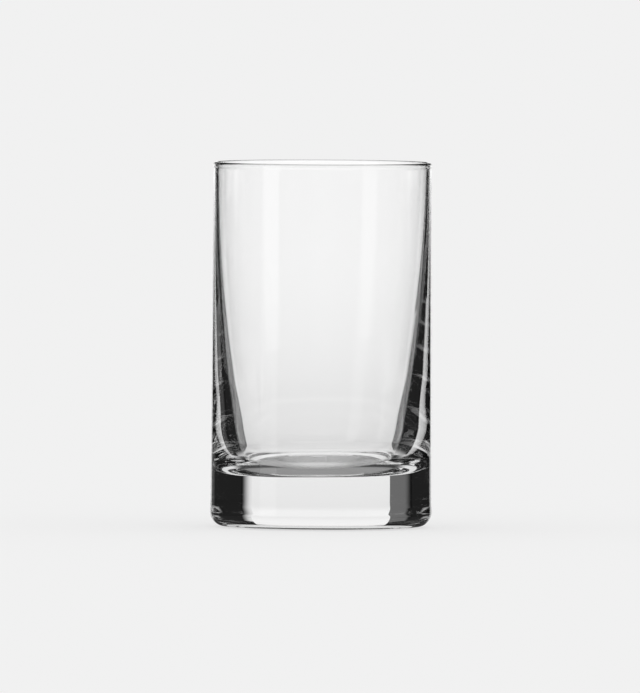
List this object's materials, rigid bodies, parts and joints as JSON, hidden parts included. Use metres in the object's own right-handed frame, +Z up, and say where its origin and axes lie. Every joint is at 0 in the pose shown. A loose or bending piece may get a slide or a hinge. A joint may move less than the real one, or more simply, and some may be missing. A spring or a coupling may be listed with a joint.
{
  "type": "vodka glass",
  "caption": "Straight-sided vodka glass in one piece of clear glass, with a round fire-polished lip, a wall that thickens downwards and a heavy solid base, for serving a small spirit.",
  "frame": {"origin": "on the glass's axis, in the plane of the standing ring that it rests on", "axes": "+Z up along the axis of the glass, from the base to the rim; X and Y lie in the plane that it stands on, and -Y faces the viewer of the picture"},
  "size_m": [0.042, 0.042, 0.0688],
  "materials": {
    "clear_glass": "clear, fire-polished"
  },
  "bodies": {
    "root": {"glass_body": "clear_glass"}
  },
  "joints": []
}
